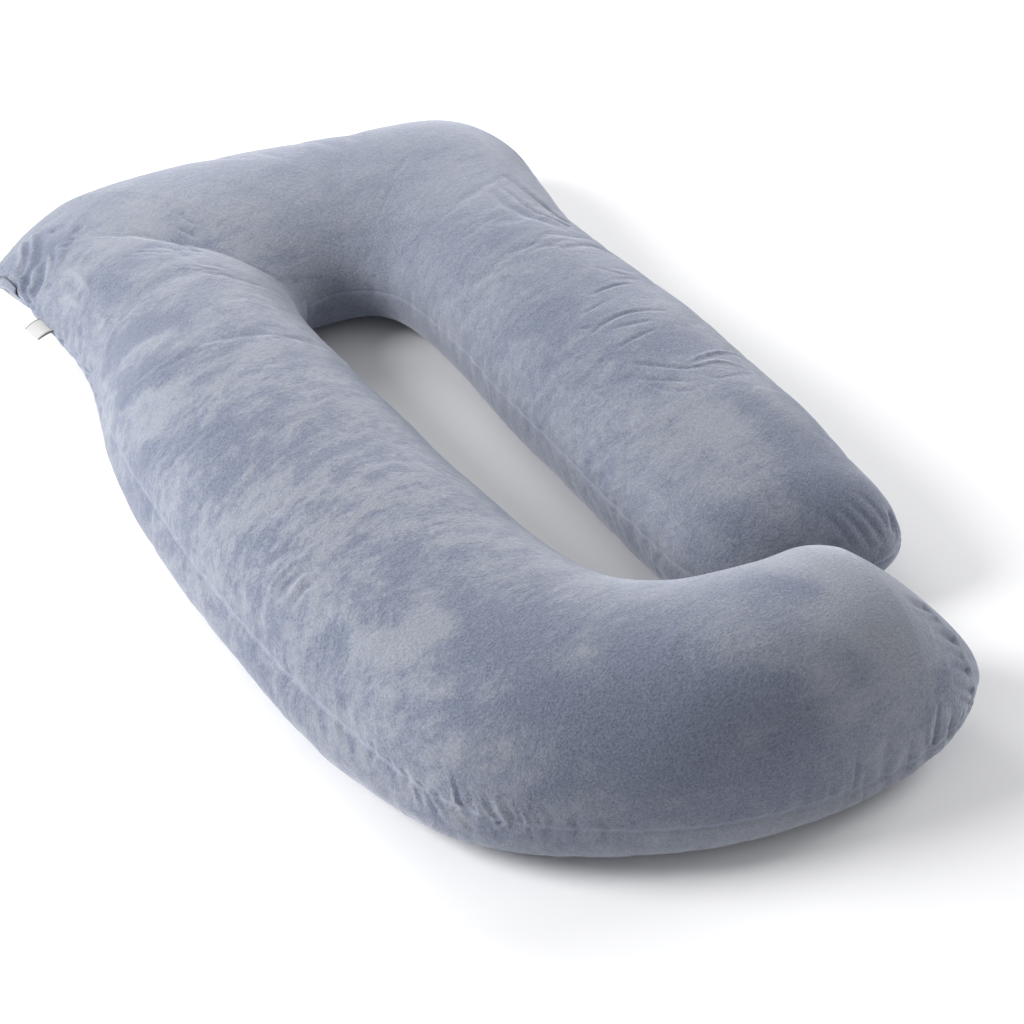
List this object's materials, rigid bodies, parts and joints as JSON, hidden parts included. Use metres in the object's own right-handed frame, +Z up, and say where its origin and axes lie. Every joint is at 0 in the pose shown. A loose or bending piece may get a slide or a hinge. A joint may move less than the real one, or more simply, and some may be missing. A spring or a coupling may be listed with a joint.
{
  "type": "pregnancy pillow",
  "caption": "Full-body pregnancy pillow: one filled plush cushion bent into a hook, with a broad head end, a short arm, and a long arm that curls across the foot.",
  "frame": {"origin": "on the surface the pillow rests on, under the middle of its outline's box", "axes": "+Y from the curled foot to the head end, +X from the long arm to the short arm, +Z up from the surface"},
  "size_m": [0.7828, 1.4532, 0.2159],
  "materials": {
    "velvet_cover": "short-pile plush velvet, grey-blue, brushed unevenly",
    "label_tape": "matt white woven tape, blank"
  },
  "bodies": {
    "root": {"filled_cover": "velvet_cover", "corner_lip": "velvet_cover", "side_label": "label_tape"}
  },
  "joints": []
}
